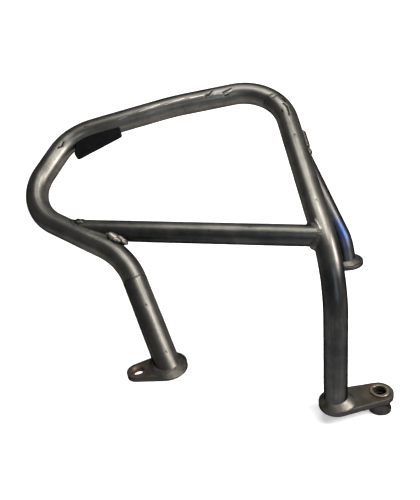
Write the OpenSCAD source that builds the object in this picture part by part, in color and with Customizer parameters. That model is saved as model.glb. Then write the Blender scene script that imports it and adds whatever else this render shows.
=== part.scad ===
// Motorcycle engine guard for one side of the engine.
// A hoop of bent steel tube leans back over the engine. It stands on a front leg, a rear leg
// and a rear stub, each welded to a mounting plate, and a cross brace ties its two sides.
// X runs along the bike, towards the rear bolt. Y runs in towards the hoop's top. Z points
// square off the mounting faces. The origin is on the rear bolt's axis, in the rear spacer's
// mounting face.

/* [Tube stock] */
// Outside diameter of the hoop and the front leg
tube_d = 25; // [22:0.5:30]
// Wall of the hoop and the front leg
tube_wall = 2; // [1.5:0.5:3]
// Outside diameter of the cross brace and the stub
brace_d = 23; // [18:0.5:24]
// Wall of the cross brace and the stub
brace_wall = 2; // [1.5:0.5:3]

/* [Hoop] */
// Angle between the hoop's plane and the mounting faces
hoop_lean = 40.5; // [32:0.5:48]
// Height of the hoop's plane above the rear mounting face, at the rear bolt
hoop_h = 152.5; // [140:0.5:165]
// Reach of the front low corner along the bike
front_low_x = 249; // [235:1:265]
// Place of the front low corner up the hoop's plane
front_low_up = 65; // [55:1:75]
// Reach of the front corner along the bike
front_x = 369; // [355:1:400]
// Place of the front corner up the hoop's plane
front_up = 144; // [130:1:155]
// Reach of the front top corner along the bike
front_top_x = 315; // [300:1:325]
// Place of the front top corner up the hoop's plane
front_top_up = 237; // [225:1:245]
// Reach of the crown, the slight bend in the top run, along the bike
crown_x = 188; // [170:1:205]
// Place of the crown up the hoop's plane
crown_up = 260; // [250:1:272]
// Reach of the rear top corner along the bike
rear_top_x = 59; // [45:1:70]
// Place of the rear top corner up the hoop's plane
rear_top_up = 269; // [255:1:285]
// Reach of the rear low corner along the bike
rear_low_x = 39; // [30:1:50]
// Place of the rear low corner up the hoop's plane
rear_low_up = 18; // [10:1:30]

/* [Bends] */
// Centreline radius of the bend above the front leg
front_low_r = 79; // [60:1:90]
// Centreline radius of the tight bend at the front
front_r = 52; // [42:1:58]
// Centreline radius of the front top bend
front_top_r = 61; // [50:1:75]
// Centreline radius of the crown
crown_r = 290; // [150:5:400]
// Centreline radius of the rear top bend
rear_top_r = 55; // [45:1:70]
// Centreline radius of the bend above the rear leg
rear_low_r = 123; // [90:1:150]

/* [Front leg and plate] */
// Reach of the front leg's foot along the bike
front_foot_x = 212; // [205:1:225]
// How far the front leg's foot stands out past the rear bolt
front_foot_out = 33; // [25:1:45]
// Height of the front mounting face above the rear one
front_face_h = 109; // [102:0.5:115]
// Straight length of the hoop past its last bend, up to the butt joint
butt_land = 2; // [1.5:0.5:10]
// Thickness of the front plate
front_plate_t = 5.5; // [4:0.5:7]
// Radius of the front plate round the leg
front_plate_r = 19; // [18.5:0.5:24]
// Radius of the front plate round its bolt hole
front_lug_r = 11; // [10:0.5:14]
// Distance from the leg to the front bolt
front_lug_reach = 28.5; // [26:0.5:36]
// Direction of the front bolt from the leg
front_lug_yaw = 189; // [180:1:200]
// Diameter of the front bolt hole
front_hole_d = 9; // [8:0.5:11]
// Diameter of the countersink of the front bolt hole
front_sink_d = 13; // [12:0.5:14]

/* [Middle plate and stub] */
// Place of the stub's joint, measured down the hoop's rear side from its top corner
stub_joint_at = 95; // [85:1:105]
// Reach of the stub's foot along the bike
stub_foot_x = 16; // [12:1:22]
// How far in the stub's foot stands from the rear bolt
stub_foot_in = 68; // [64:1:74]
// Height of the middle mounting face above the rear one
middle_face_h = 146; // [138:0.5:150]
// Length of the stub below its slight bend
stub_end_l = 22; // [18:1:28]
// Lean of the stub's lower end towards the rear, off square
stub_end_lean = 3; // [0:1:10]
// Lean of the stub's lower end out from the engine, off square
stub_end_out = 24; // [18:1:28]
// Centreline radius of the stub's slight bend
stub_r = 60; // [50:5:80]
// Thickness of the middle plate
middle_plate_t = 4; // [3:0.5:6]
// Radius of the middle plate round the stub
middle_plate_r = 19; // [18.5:0.5:22]
// Radius of the middle plate round its bolt hole
middle_lug_r = 11; // [10:0.5:14]
// Distance from the stub to the middle bolt
middle_lug_reach = 27; // [26:0.5:34]
// Direction of the middle bolt from the stub
middle_lug_yaw = 118; // [105:1:130]
// Diameter of the middle bolt hole
middle_hole_d = 9; // [8:0.5:11]

/* [Cross brace] */
// Place of the brace's rear end, measured down the hoop's rear side from its top corner
brace_rear_at = 209.5; // [192:0.5:218]
// Place of the brace's front end, measured along the hoop from its front low corner
brace_front_at = 77; // [64:1:84]

/* [Rear plate, bush and spacer] */
// Thickness of the rear plate
rear_plate_t = 6.5; // [4:0.5:8]
// Radius of the rear plate round the rear leg
rear_plate_r = 18; // [17.5:0.5:22]
// Radius of the rear plate round its bush
rear_lug_r = 14.5; // [13:0.5:17]
// Distance from the rear leg to the rear bolt
rear_lug_reach = 49; // [42:0.5:60]
// Direction of the rear bolt from the rear leg
rear_lug_yaw = 8; // [0:0.5:15]
// Outside diameter of the bush
bush_d = 20.5; // [19:0.5:23]
// Bore of the bush
bush_bore = 13.5; // [12:0.5:15]
// Height of the bush above the rear plate
bush_rise = 1.6; // [1:0.1:3]
// Length of the spacer under the rear plate
spacer_l = 16.5; // [12:0.5:22]
// Diameter of the spacer at its mounting face
spacer_d = 24.5; // [22:0.5:27]
// Depth of the waist turned into the spacer
spacer_waist = 1.2; // [0.5:0.1:2]
// Width of the full-size land at each end of the spacer
spacer_land = 2; // [1:0.5:4]
// Bore of the spacer, for the rear bolt
spacer_bore = 10.5; // [8.5:0.5:11.5]

/* [Pad] */
// Distance from the front top corner to the pad's front end
pad_at = 1.5; // [0:0.5:12]
// Length of the pad along the hoop
pad_l = 59; // [48:1:64]
// Depth of the pad at its front end, from the middle of the hoop's tube
pad_deep = 35; // [28:0.5:38]
// Depth of the pad at its shallow end
pad_shallow = 21; // [18:0.5:25]
// Thickness of the pad
pad_t = 10; // [8:0.5:16]
// How far the pad's outer face lies outside the hoop's plane
pad_face = 5; // [0:0.5:8]
// Lean of the pad's front end, off square to the hoop
pad_rake = 13; // [0:1:20]
// Radius of the pad's corners
pad_corner_r = 3.5; // [2:0.5:5]
// Width of the bevel round the pad's faces
pad_bevel = 1; // [0.5:0.1:1.5]

/* [Welds] */
// Leg length of the fillet round the front leg's foot
front_weld = 5; // [3:0.5:6]
// Leg length of the fillet round the rear leg's foot
rear_weld = 5; // [3:0.5:5]
// How much further the rear leg's fillet reaches along the plate, towards the bush
rear_weld_swell = 2.5; // [0:0.5:4]
// Leg length of the fillet round the stub's foot
stub_foot_weld = 3.5; // [2:0.5:5]
// Leg length of the beads round the brace's ends
brace_weld = 2.6; // [1.5:0.1:4]
// Extra leg of the weld in the crotch under the brace's front end
brace_crotch_weld = 6; // [1:0.5:7]
// Extra leg of the weld under the brace's rear end
brace_under_weld = 2.5; // [0:0.5:4]
// Leg length of the bead round the stub's scarf
stub_weld = 2.2; // [1.5:0.1:3]
// Extra leg of that bead in the crotch under the stub
stub_crotch_weld = 2; // [0:0.5:4]
// Height of the bead over the butt joint in the front leg
butt_weld = 0.5; // [0.2:0.1:1.5]
// Width of that bead
butt_weld_w = 2.4; // [1.6:0.1:2.8]
// Leg length of the fillet under the rear plate, round the spacer
spacer_weld = 2; // [1:0.5:2]
// Place of the raised run of weld above the stub, down the hoop's rear side from its top corner
run_weld_at = 74; // [66:1:80]
// Length of the raised run of weld
run_weld_l = 38; // [30:1:40]
// Height of the raised run above the hoop
run_weld_rise = 3; // [1.5:0.1:4]
// Radius of the raised run's round back
run_weld_r = 5; // [4:0.5:7]
// Angle round the hoop from the stub to the raised run
run_weld_turn = 62; // [40:1:70]
// Notch between the raised run and the bead round the stub
run_weld_notch = 0.5; // [0.5:0.1:3]

/* [Hidden] */
$fn = 96;
// Stations round a weld bead, and ripples in its surface
bead_n = 48;
bead_ripples = 12;
// Steps across a bead's bed on a round tube
bed_n = 4;
// Room under that bed, so that the bead's flats clear the round tube
bed_clear = 0.2;
// Stations round the bend in the pad's groove
groove_n = 12;
// Share of a weld's leg by which its ripples rise and sink
ripple_rise = 0.05;
// How hollow or full a bead's face is: its share of the way to each toe
hollow = 0.34;
full = 0.45;
// How far a cutter runs past what it cuts
over = 1;
// Angle that a bend is swept past its end before it is trimmed
bend_spare = 3;
// A bend is drawn this much thinner than a run, so that a clean step parts the two
bend_thin = 0.04;
// Side of the block that trims a foot to its plate
trim = 120;
steel = [0.42, 0.41, 0.38];
weld_grey = [0.55, 0.54, 0.50];
pad_black = [0.06, 0.07, 0.07];

tube_r = tube_d / 2;
brace_r = brace_d / 2;

// Heights of the faces that the feet stand on
front_top_z = front_face_h + front_plate_t;
middle_top_z = middle_face_h + middle_plate_t;
rear_top_z = spacer_l + rear_plate_t;

// A point of the hoop's plane, from its place along the bike and up the plane
function hoop_point(x, up) = [-x, up * cos(hoop_lean), hoop_h + up * sin(hoop_lean)];
function unit(v) = v / norm(v);
function aim(yaw) = [cos(yaw), sin(yaw), 0];

front_low = hoop_point(front_low_x, front_low_up);
front_corner = hoop_point(front_x, front_up);
front_top = hoop_point(front_top_x, front_top_up);
crown = hoop_point(crown_x, crown_up);
rear_top = hoop_point(rear_top_x, rear_top_up);
rear_low = hoop_point(rear_low_x, rear_low_up);
hoop_square = [0, -sin(hoop_lean), cos(hoop_lean)];

front_foot = [-front_foot_x, -front_foot_out, front_top_z];
rear_foot = [0, 0, rear_top_z] - rear_lug_reach * aim(rear_lug_yaw);
stub_foot = [-stub_foot_x, stub_foot_in, middle_top_z];

front_leg_dir = unit(front_low - front_foot);
rear_leg_dir = unit(rear_low - rear_foot);
rear_side_dir = unit(rear_low - rear_top);
front_run_dir = unit(front_corner - front_low);
stub_end_dir = unit([-tan(stub_end_lean), tan(stub_end_out), 1]);

// Bends: the angle between two runs, and the length that the bend takes from each
function bend_angle(p, i) = acos(unit(p[i] - p[i - 1]) * unit(p[i + 1] - p[i]));
function bend_take(p, r, i) =
    (i <= 0 || i >= len(p) - 1) ? 0 : r[i] * tan(bend_angle(p, i) / 2);
// Directions from the start and from the end of a bend to its centre
function bend_in(p, i) =
    let (a = unit(p[i] - p[i - 1]), b = unit(p[i + 1] - p[i])) unit(b - a * (a * b));
function bend_out(p, i) =
    let (a = unit(p[i] - p[i - 1]), b = unit(p[i + 1] - p[i])) unit(b * (a * b) - a);
// Turn about the run between bend i and the next one
function bend_roll(p, i) =
    let (m = bend_out(p, i), n = bend_in(p, i + 1), d = unit(p[i + 1] - p[i]))
    atan2(cross(m, n) * d, m * n);

// Where the hoop ends and the front leg is butted to it
seam_take = front_low_r * tan(acos(front_leg_dir * front_run_dir) / 2);
seam = front_low - (seam_take + butt_land) * front_leg_dir;

hoop_route = [
    seam, front_low, front_corner, front_top, crown, rear_top, rear_low,
    rear_foot - tube_d * rear_leg_dir
];
hoop_radii = [0, front_low_r, front_r, front_top_r, crown_r, rear_top_r, rear_low_r, 0];
// Runs of that route that carry a branch, counted from its first run, which is run 0
front_run = 1;
rear_side = 5;

stub_joint = rear_top + stub_joint_at * rear_side_dir;
stub_knee = stub_foot + stub_end_l * stub_end_dir;
stub_route = [stub_joint, stub_knee, stub_foot - brace_d * stub_end_dir];
stub_radii = [0, stub_r, 0];
stub_top_dir = unit(stub_knee - stub_joint);

brace_rear = rear_top + brace_rear_at * rear_side_dir;
brace_front = front_low + brace_front_at * front_run_dir;
brace_dir = unit(brace_rear - brace_front);

// Directions out of the hoop's rear side: towards the stub, and towards the raised run of weld
stub_side = unit(stub_top_dir - rear_side_dir * (stub_top_dir * rear_side_dir));
run_weld_side =
    stub_side * cos(run_weld_turn) + cross(rear_side_dir, stub_side) * sin(run_weld_turn);

// Radius of the groove round the spacer's waist, from its depth and its width
waist_half = spacer_l / 2 - spacer_land;
waist_r = (waist_half * waist_half + spacer_waist * spacer_waist) / (2 * spacer_waist);

// Places its children with their Z along d and their X towards n, at p
module stand_on(p, d, n) {
    y = cross(d, n);
    multmatrix([
        [n[0], y[0], d[0], p[0]],
        [n[1], y[1], d[1], p[1]],
        [n[2], y[2], d[2], p[2]]
    ])
        children();
}

// Places its children with their Z along d, at p
module along(p, d) {
    n = unit(cross(abs(d[2]) > 0.9 ? [0, 1, 0] : [0, 0, 1], d));
    stand_on(p, d, n) children();
}

// The end of a bend that starts at the origin along Z and turns towards X
module after_bend(r, angle) {
    translate([r, 0, 0])
        rotate([0, angle, 0])
            translate([-r, 0, 0])
                children();
}

// The bend itself, swept a little too far and trimmed square where the next run starts
module bend(r, angle, d) {
    difference() {
        translate([r, 0, 0])
            rotate([-90, 0, 0])
                rotate([0, 0, 180])
                    rotate_extrude(angle = angle + bend_spare)
                        translate([r, 0])
                            circle(d = d - bend_thin);
        after_bend(r, angle)
            translate([-d, -d, 0])
                cube(2 * d);
    }
}

// The runs and bends of a route, from run i on
module route_from(p, r, d, i) {
    last = len(p) - 2;
    run = norm(p[i + 1] - p[i]) - bend_take(p, r, i) - bend_take(p, r, i + 1);
    // Half a turn puts the surface's seam on the inside of the bend
    rotate(180)
        cylinder(d = d, h = run);
    if (i < last) {
        angle = bend_angle(p, i + 1);
        roll = i == 0 ? 0 : bend_roll(p, i);
        translate([0, 0, run])
            rotate([0, 0, roll]) {
                bend(r[i + 1], angle, d);
                after_bend(r[i + 1], angle)
                    route_from(p, r, d, i + 1);
            }
    }
}

module route(p, r, d) {
    stand_on(p[0], unit(p[1] - p[0]), bend_in(p, 1)) route_from(p, r, d, 0);
}

// The same route, with its ends drawn out so that a bore cuts through
function drawn_out(p) =
    let (n = len(p) - 1)
    [for (i = [0:n])
        i == 0 ? p[0] - over * unit(p[1] - p[0])
        : i == n ? p[n] + over * unit(p[n] - p[n - 1])
        : p[i]];

module bent_tube(p, r, d, wall) {
    difference() {
        route(p, r, d);
        route(drawn_out(p), r, d - 2 * wall);
    }
}

module straight_tube(a, b, d, wall) {
    along(a, unit(b - a))
        difference() {
            cylinder(d = d, h = norm(b - a));
            translate([0, 0, -over])
                cylinder(d = d - 2 * wall, h = norm(b - a) + 2 * over);
        }
}

// The block below a plate's top face, which trims a foot square to the plate
module below(foot) {
    translate([foot[0] - trim / 2, foot[1] - trim / 2, foot[2] - trim])
        cube(trim);
}

// A plate with a wide round end at the origin and a narrow one along X
module tapered_plate(wide_r, lug_r, reach, t) {
    slope = asin((wide_r - lug_r) / reach);
    tangent = [sin(slope), cos(slope)];
    mirrored = [sin(slope), -cos(slope)];
    cylinder(r = wide_r, h = t);
    translate([reach, 0, 0])
        cylinder(r = lug_r, h = t);
    linear_extrude(t)
        polygon([
            wide_r * tangent,
            [reach, 0] + lug_r * tangent,
            [reach, 0] + lug_r * mirrored,
            wide_r * mirrored
        ]);
}

// A closed bead: station i has the section points of ring[i], all rings alike
module closed_bead(rings) {
    n = len(rings);
    m = len(rings[0]);
    polyhedron(
        points = [for (ring = rings) for (q = ring) q],
        faces = [
            for (i = [0:n - 1])
                for (j = [0:m - 1])
                    let (i2 = (i + 1) % n, j2 = (j + 1) % m)
                    each [
                        [i * m + j, i2 * m + j, i2 * m + j2],
                        [i * m + j, i2 * m + j2, i * m + j2]
                    ]
        ]
    );
}

// A radius just outside r, so that the flats of a bead touch the tube and don't cut it
function clear_r(r) = r / cos(180 / bead_n) + 0.01;

// Fillet round a tube that stands on a flat face: foot is on the face, d points up the tube.
// It swells by the given length towards the given direction.
module foot_fillet(foot, d, r, leg, swell, yaw) {
    e1 = unit(cross(d, [0, 1, 0]));
    e2 = cross(d, e1);
    rc = clear_r(r);
    closed_bead([
        for (i = [0:bead_n - 1])
            let (
                a = -360 * i / bead_n,
                n = e1 * cos(a) + e2 * sin(a),
                flat_n = unit([n[0], n[1], 0]),
                height = leg * (1 + ripple_rise * sin(a * bead_ripples)),
                reach = height + swell * pow(max(0, flat_n * aim(yaw)), 2),
                root = foot + rc * n - d * (rc * n[2] / d[2]),
                top = root + d * height,
                toe = root + flat_n * reach,
                face = root + hollow * (top - root) + hollow * (toe - root)
            )
            [root, top, face, toe]
    ]);
}

// The nearest point to q on run i of the hoop's centreline, and on bend i
function on_run(q, i) =
    let (
        d = unit(hoop_route[i + 1] - hoop_route[i]),
        start = hoop_route[i] + bend_take(hoop_route, hoop_radii, i) * d,
        end = hoop_route[i + 1] - bend_take(hoop_route, hoop_radii, i + 1) * d
    )
    start + d * min(max((q - start) * d, 0), norm(end - start));
function on_bend(q, i) =
    let (
        a = unit(hoop_route[i] - hoop_route[i - 1]),
        n = bend_in(hoop_route, i),
        r = hoop_radii[i],
        centre = hoop_route[i] - bend_take(hoop_route, hoop_radii, i) * a + r * n,
        turn = atan2((q - centre) * a, (centre - q) * n),
        t = min(max(turn, 0), bend_angle(hoop_route, i))
    )
    centre + r * (sin(t) * a - cos(t) * n);
function nearer(q, a, b) = norm(q - a) < norm(q - b) ? a : b;
function on_hoop(q, i) = nearer(q, on_run(q, i), nearer(q, on_bend(q, i), on_bend(q, i + 1)));

// Slides q back along d until it lies at radius r round run i or the bends beside it
function slide_to_hoop(q, d, i, r, tries = 12) =
    let (c = on_hoop(q, i), gap = norm(q - c) - r)
    (tries == 0 || abs(gap) < 0.0001) ? q
        : slide_to_hoop(q - d * (gap / max(d * unit(q - c), 0.05)), d, i, r, tries - 1);

// The point over q that lies at radius r round that run and those bends
function laid(q, i, r) = let (c = on_hoop(q, i)) c + r * unit(q - c);

// Bead round a branch tube that stands on run i of the hoop. The branch's axis starts on the
// hoop's centreline at p and runs along d. The bead swells on the side that m points to.
module saddle_bead(p, d, m, r, i, leg, swell) {
    e1 = unit(m - d * (m * d));
    e2 = cross(d, e1);
    rc = clear_r(r);
    hc = clear_r(tube_r) + bed_clear;
    closed_bead([
        for (k = [0:bead_n - 1])
            let (
                a = 360 * k / bead_n,
                n = e1 * cos(a) + e2 * sin(a),
                root = slide_to_hoop(p + rc * n + 4 * tube_d * d, d, i, hc),
                hoop_n = unit(root - on_hoop(root, i)),
                away = unit(n - hoop_n * (n * hoop_n)),
                reach = leg * (1 + ripple_rise * sin(a * bead_ripples))
                    + swell * pow(max(0, cos(a)), 4),
                top = root + d * reach,
                // The bead's bed on the hoop, from its toe back to its root
                bed = [for (j = [bed_n:-1:1]) laid(root + away * reach * j / bed_n, i, hc)],
                face = root + full * (top - root) + full * (bed[0] - root)
            )
            concat([root, top, face], bed)
    ]);
}

module hoop_tube() {
    color(steel)
        difference() {
            bent_tube(hoop_route, hoop_radii, tube_d, tube_wall);
            below(rear_foot);
        }
}

module front_leg_tube() {
    color(steel)
        difference() {
            straight_tube(seam, front_foot - 2 * tube_d * front_leg_dir, tube_d, tube_wall);
            below(front_foot);
        }
}

module cross_brace() {
    color(steel)
        difference() {
            straight_tube(brace_front, brace_rear, brace_d, brace_wall);
            route(hoop_route, hoop_radii, tube_d);
        }
}

module stub_tube() {
    color(steel)
        difference() {
            bent_tube(stub_route, stub_radii, brace_d, brace_wall);
            along(stub_joint - 2 * tube_d * rear_side_dir, rear_side_dir)
                cylinder(d = tube_d, h = 8 * tube_d);
            below(stub_foot);
        }
}

module front_plate() {
    color(steel)
        translate([front_foot[0], front_foot[1], front_face_h])
            rotate([0, 0, front_lug_yaw])
                difference() {
                    tapered_plate(front_plate_r, front_lug_r, front_lug_reach, front_plate_t);
                    translate([front_lug_reach, 0, -over])
                        cylinder(d = front_hole_d, h = front_plate_t + 2 * over);
                    translate([front_lug_reach, 0, front_plate_t - (front_sink_d - front_hole_d) / 2])
                        cylinder(
                            d1 = front_hole_d,
                            d2 = front_sink_d + 2 * over,
                            h = (front_sink_d - front_hole_d) / 2 + over
                        );
                }
}

module middle_plate() {
    color(steel)
        translate([stub_foot[0], stub_foot[1], middle_face_h])
            rotate([0, 0, middle_lug_yaw])
                difference() {
                    tapered_plate(middle_plate_r, middle_lug_r, middle_lug_reach, middle_plate_t);
                    translate([middle_lug_reach, 0, -over])
                        cylinder(d = middle_hole_d, h = middle_plate_t + 2 * over);
                }
}

module rear_plate() {
    color(steel)
        difference() {
            translate([rear_foot[0], rear_foot[1], spacer_l])
                rotate([0, 0, rear_lug_yaw])
                    tapered_plate(rear_plate_r, rear_lug_r, rear_lug_reach, rear_plate_t);
            translate([0, 0, spacer_l - over])
                cylinder(d = bush_d, h = rear_plate_t + 2 * over);
        }
}

module rear_bush() {
    lip = 0.6;
    color(steel)
        translate([0, 0, spacer_l])
            rotate_extrude()
                polygon([
                    [bush_bore / 2, 0],
                    [bush_d / 2, 0],
                    [bush_d / 2, rear_plate_t + bush_rise - lip],
                    [bush_d / 2 - lip, rear_plate_t + bush_rise],
                    [bush_bore / 2 + lip, rear_plate_t + bush_rise],
                    [bush_bore / 2, rear_plate_t + bush_rise - lip]
                ]);
}

module rear_spacer() {
    color(steel)
        difference() {
            cylinder(d = spacer_d, h = spacer_l);
            // The waist, a shallow round groove
            translate([0, 0, spacer_l / 2])
                rotate_extrude()
                    translate([spacer_d / 2 + waist_r - spacer_waist, 0])
                        circle(r = waist_r);
            translate([0, 0, -over])
                cylinder(d = spacer_bore, h = spacer_l + 2 * over);
        }
}

// The hoop's front top bend and the runs beside it, as one closed form that cuts the pad's groove.
// It lies in the pad's own frame: X along the run from the corner, Z square to the hoop's plane.
module pad_groove() {
    angle = acos(unit(front_top - front_corner) * unit(crown - front_top));
    take = front_top_r * tan(angle / 2);
    centre = [take, -front_top_r];
    // Each station is the turn of the route there, and how far it lies past the bend's end
    stations = concat(
        [[0, pad_l + tube_d]],
        [for (i = [0:groove_n]) [angle * i / groove_n, 0]],
        [[angle, -tube_d]]
    );
    rc = clear_r(tube_r);
    rings = [
        for (st = stations)
            let (
                out = [-sin(st[0]), cos(st[0])],
                middle = centre + front_top_r * out + st[1] * [cos(st[0]), sin(st[0])]
            )
            [
                for (i = [0:bead_n - 1])
                    let (a = -360 * i / bead_n, q = middle + rc * cos(a) * out)
                    [q[0], q[1], rc * sin(a)]
            ]
    ];
    n = len(rings);
    polyhedron(
        points = [for (ring = rings) each ring],
        faces = concat(
            [
                for (i = [0:n - 2])
                    for (j = [0:bead_n - 1])
                        let (j2 = (j + 1) % bead_n)
                        [
                            i * bead_n + j,
                            (i + 1) * bead_n + j,
                            (i + 1) * bead_n + j2,
                            i * bead_n + j2
                        ]
            ],
            [[for (j = [0:bead_n - 1]) j]],
            [[for (j = [bead_n - 1:-1:0]) (n - 1) * bead_n + j]]
        )
    );
}

module impact_pad() {
    r = pad_corner_r;
    corners = [
        [r, r - pad_deep],
        [pad_l - r, r - pad_shallow],
        [pad_l - r, -r],
        [r + pad_deep * tan(pad_rake), -r]
    ];
    color(pad_black)
        stand_on(front_top, hoop_square, unit(crown - front_top))
            difference() {
                translate([pad_at, 0, pad_face - pad_t])
                    hull()
                        for (corner = corners)
                            translate(corner) {
                                cylinder(r = r - pad_bevel, h = pad_t, $fn = 32);
                                translate([0, 0, pad_bevel])
                                    cylinder(r = r, h = pad_t - 2 * pad_bevel, $fn = 32);
                            }
                pad_groove();
            }
}

module butt_weld_bead() {
    shoulder = 0.3;
    color(weld_grey)
        along(seam - front_leg_dir * butt_weld_w / 2, front_leg_dir)
            rotate_extrude()
                polygon([
                    [tube_r, 0],
                    [tube_r + butt_weld, butt_weld_w * shoulder],
                    [tube_r + butt_weld, butt_weld_w * (1 - shoulder)],
                    [tube_r, butt_weld_w]
                ]);
}

module front_foot_weld() {
    color(weld_grey) foot_fillet(front_foot, front_leg_dir, tube_r, front_weld, 0, 0);
}

module rear_foot_weld() {
    color(weld_grey)
        foot_fillet(rear_foot, rear_leg_dir, tube_r, rear_weld, rear_weld_swell, rear_lug_yaw);
}

module stub_foot_weld_bead() {
    color(weld_grey) foot_fillet(stub_foot, stub_end_dir, brace_r, stub_foot_weld, 0, 0);
}

module brace_front_weld() {
    color(weld_grey)
        saddle_bead(
            brace_front, brace_dir, -front_run_dir, brace_r, front_run, brace_weld,
            brace_crotch_weld
        );
}

module brace_rear_weld() {
    color(weld_grey)
        saddle_bead(
            brace_rear, -brace_dir, rear_side_dir, brace_r, rear_side, brace_weld,
            brace_under_weld
        );
}

module stub_scarf_weld() {
    color(weld_grey)
        saddle_bead(
            stub_joint, stub_top_dir, rear_side_dir, brace_r, rear_side, stub_weld,
            stub_crotch_weld
        );
}

// A round-backed run of weld laid up the hoop from the stub's flank
module stub_run_weld() {
    start = rear_top + run_weld_at * rear_side_dir;
    color(weld_grey)
        difference() {
            stand_on(start, rear_side_dir, run_weld_side)
                translate([tube_r + run_weld_rise - run_weld_r, 0, 0]) {
                    translate([0, 0, run_weld_r])
                        sphere(r = run_weld_r);
                    translate([0, 0, run_weld_r])
                        cylinder(r = run_weld_r, h = run_weld_l - 2 * run_weld_r);
                    translate([0, 0, run_weld_l - run_weld_r])
                        sphere(r = run_weld_r);
                }
            along(start - tube_d * rear_side_dir, rear_side_dir)
                cylinder(d = tube_d, h = run_weld_l + 2 * tube_d);
            along(stub_joint, stub_top_dir)
                cylinder(r = brace_r + stub_weld + run_weld_notch, h = 4 * brace_d);
        }
}

module spacer_weld_bead() {
    // The bead's face bulges a little past its chord
    out = 0.4;
    up = 0.6;
    color(weld_grey)
        translate([0, 0, spacer_l - spacer_weld])
            rotate_extrude()
                polygon([
                    [spacer_d / 2, 0],
                    [spacer_d / 2 + spacer_weld * out, spacer_weld * up],
                    [spacer_d / 2 + spacer_weld, spacer_weld],
                    [spacer_d / 2, spacer_weld]
                ]);
}

hoop_tube();
front_leg_tube();
cross_brace();
stub_tube();
front_plate();
middle_plate();
rear_plate();
rear_bush();
rear_spacer();
impact_pad();
butt_weld_bead();
front_foot_weld();
rear_foot_weld();
stub_foot_weld_bead();
brace_front_weld();
brace_rear_weld();
stub_scarf_weld();
stub_run_weld();
spacer_weld_bead();
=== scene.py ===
"""Looks of the motorcycle engine guard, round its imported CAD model. Lengths are in millimetres
until a mesh is made, and then in metres."""
import math

import bmesh
import bpy
import numpy as np
from mathutils import Matrix, Vector

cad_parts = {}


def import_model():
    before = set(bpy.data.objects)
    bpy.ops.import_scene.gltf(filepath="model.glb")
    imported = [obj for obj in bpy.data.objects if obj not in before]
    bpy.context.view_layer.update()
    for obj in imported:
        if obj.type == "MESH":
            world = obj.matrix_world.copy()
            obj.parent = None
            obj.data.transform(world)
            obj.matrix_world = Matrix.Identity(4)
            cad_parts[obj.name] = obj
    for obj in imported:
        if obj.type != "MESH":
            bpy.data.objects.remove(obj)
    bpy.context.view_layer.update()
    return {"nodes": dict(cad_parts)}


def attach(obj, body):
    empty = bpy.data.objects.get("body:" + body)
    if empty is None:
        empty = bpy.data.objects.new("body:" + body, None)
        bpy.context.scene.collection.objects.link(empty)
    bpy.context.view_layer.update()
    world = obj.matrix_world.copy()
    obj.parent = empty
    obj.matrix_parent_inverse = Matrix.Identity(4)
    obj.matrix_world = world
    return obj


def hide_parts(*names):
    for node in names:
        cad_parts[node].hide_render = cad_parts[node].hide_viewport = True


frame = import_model()
MM = 0.001

# Sizes of the tubes, as the CAD model has them

TUBE_R = 12.5
BRACE_R = 11.5
WALL = 2.0
LEAN = math.radians(40.5)
HOOP_H = 152.5
FRONT_TOP_Z = 114.5
MIDDLE_TOP_Z = 150.0
REAR_TOP_Z = 23.0
SPACER_L = 16.5
SPACER_R = 12.25
SEAM_BELOW_BEND = 2
BRACE_FRONT_UP = 77
BRACE_REAR_DOWN = 209.5
STUB_JOINT_DOWN = 95
STUB_KNEE_UP = 22
STUB_KNEE_R = 60
STUB_LEAN_X, STUB_LEAN_Y = math.radians(3), math.radians(24)
FRONT_BOLT_REACH = 28.5
FRONT_YAW = math.radians(189)
REAR_BOLT_REACH = 49
REAR_YAW = math.radians(8)


def hoop_point(x, up):
    """A point of the hoop's plane, from its place along the bike and up the plane."""
    return np.array([-x, up * math.cos(LEAN), HOOP_H + up * math.sin(LEAN)])


def unit(v):
    return v / np.linalg.norm(v)


def unit_rows(v):
    return v / np.linalg.norm(v, axis=-1, keepdims=True)


FRONT_LOW = hoop_point(249, 65)
FRONT = hoop_point(369, 144)
FRONT_TOP = hoop_point(315, 237)
CROWN = hoop_point(188, 260)
REAR_TOP = hoop_point(59, 269)
REAR_LOW = hoop_point(39, 18)
HOOP_CORNERS = [FRONT_LOW, FRONT, FRONT_TOP, CROWN, REAR_TOP, REAR_LOW]
HOOP_RADII = [0, 79, 52, 61, 290, 55, 123, 0]
FRONT_FOOT = np.array([-212, -33, FRONT_TOP_Z])
FRONT_BOLT = FRONT_FOOT + FRONT_BOLT_REACH * np.array([math.cos(FRONT_YAW), math.sin(FRONT_YAW), 0])
REAR_BOLT = np.array([0, 0, REAR_TOP_Z])
REAR_BOLT_WAY = np.array([math.cos(REAR_YAW), math.sin(REAR_YAW), 0])
REAR_FOOT = REAR_BOLT - REAR_BOLT_REACH * REAR_BOLT_WAY
STUB_FOOT = np.array([-16, 68, MIDDLE_TOP_Z])
FRONT_LEG_DIR = unit(FRONT_LOW - FRONT_FOOT)
FRONT_RUN_DIR = unit(FRONT - FRONT_LOW)
REAR_SIDE_DIR = unit(REAR_LOW - REAR_TOP)
REAR_LEG_DIR = unit(REAR_LOW - REAR_FOOT)
STUB_END_DIR = unit(np.array([-math.tan(STUB_LEAN_X), math.tan(STUB_LEAN_Y), 1]))
SEAM_TAKE = HOOP_RADII[1] * math.tan(math.acos(FRONT_LEG_DIR @ FRONT_RUN_DIR) / 2)
SEAM = FRONT_LOW - (SEAM_TAKE + SEAM_BELOW_BEND) * FRONT_LEG_DIR
STUB_JOINT = REAR_TOP + STUB_JOINT_DOWN * REAR_SIDE_DIR
STUB_KNEE = STUB_FOOT + STUB_KNEE_UP * STUB_END_DIR
STUB_TOP_DIR = unit(STUB_KNEE - STUB_JOINT)
BRACE_REAR = REAR_TOP + BRACE_REAR_DOWN * REAR_SIDE_DIR
BRACE_FRONT = FRONT_LOW + BRACE_FRONT_UP * FRONT_RUN_DIR
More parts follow.
